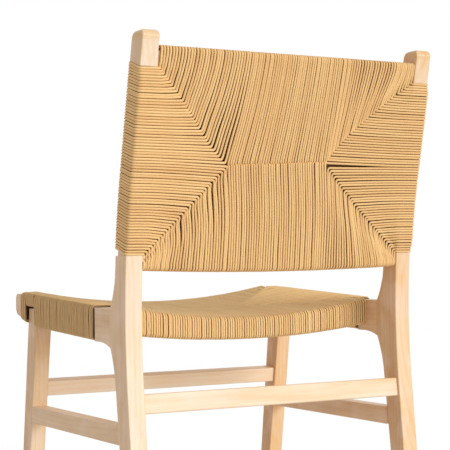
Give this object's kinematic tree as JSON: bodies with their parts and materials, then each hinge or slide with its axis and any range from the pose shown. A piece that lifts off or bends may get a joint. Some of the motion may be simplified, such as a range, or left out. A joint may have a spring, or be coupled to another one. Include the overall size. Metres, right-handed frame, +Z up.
{
  "type": "woven side chair",
  "caption": "Armless dining chair with a pale wood frame, splayed legs, and a seat and leaning back woven from paper cord.",
  "frame": {"origin": "on the floor, under the middle of the chair's box", "axes": "+Z up, the sitter faces -Y, +X is the sitter's left"},
  "size_m": [0.4838, 0.4694, 0.824],
  "materials": {
    "frame_wood": "pale hardwood, clear matt finish",
    "paper_cord": "twisted paper cord, natural golden tan",
    "dowel_wood": "plain beech dowel",
    "glide_plastic": "beige nylon",
    "tack_steel": "bright steel"
  },
  "bodies": {
    "root": {"left_rear_leg": "frame_wood", "right_rear_leg": "frame_wood", "left_front_leg": "frame_wood", "right_front_leg": "frame_wood", "left_seat_rail": "frame_wood", "right_seat_rail": "frame_wood", "rear_seat_rail": "frame_wood", "front_seat_rail": "frame_wood", "back_top_rail": "frame_wood", "back_bottom_rail": "frame_wood", "rear_stretcher": "frame_wood", "front_stretcher": "frame_wood", "left_side_stretcher": "frame_wood", "right_side_stretcher": "frame_wood", "seat_cord_left": "paper_cord", "seat_cord_right": "paper_cord", "seat_cord_rear": "paper_cord", "seat_cord_front": "paper_cord", "back_cord_left": "paper_cord", "back_cord_right": "paper_cord", "back_cord_top": "paper_cord", "back_cord_bottom": "paper_cord", "seat_rail_dowels": "dowel_wood", "cross_rail_dowels": "dowel_wood", "back_rail_dowels": "dowel_wood", "foot_glides": "glide_plastic", "cord_tacks": "tack_steel"}
  },
  "joints": []
}
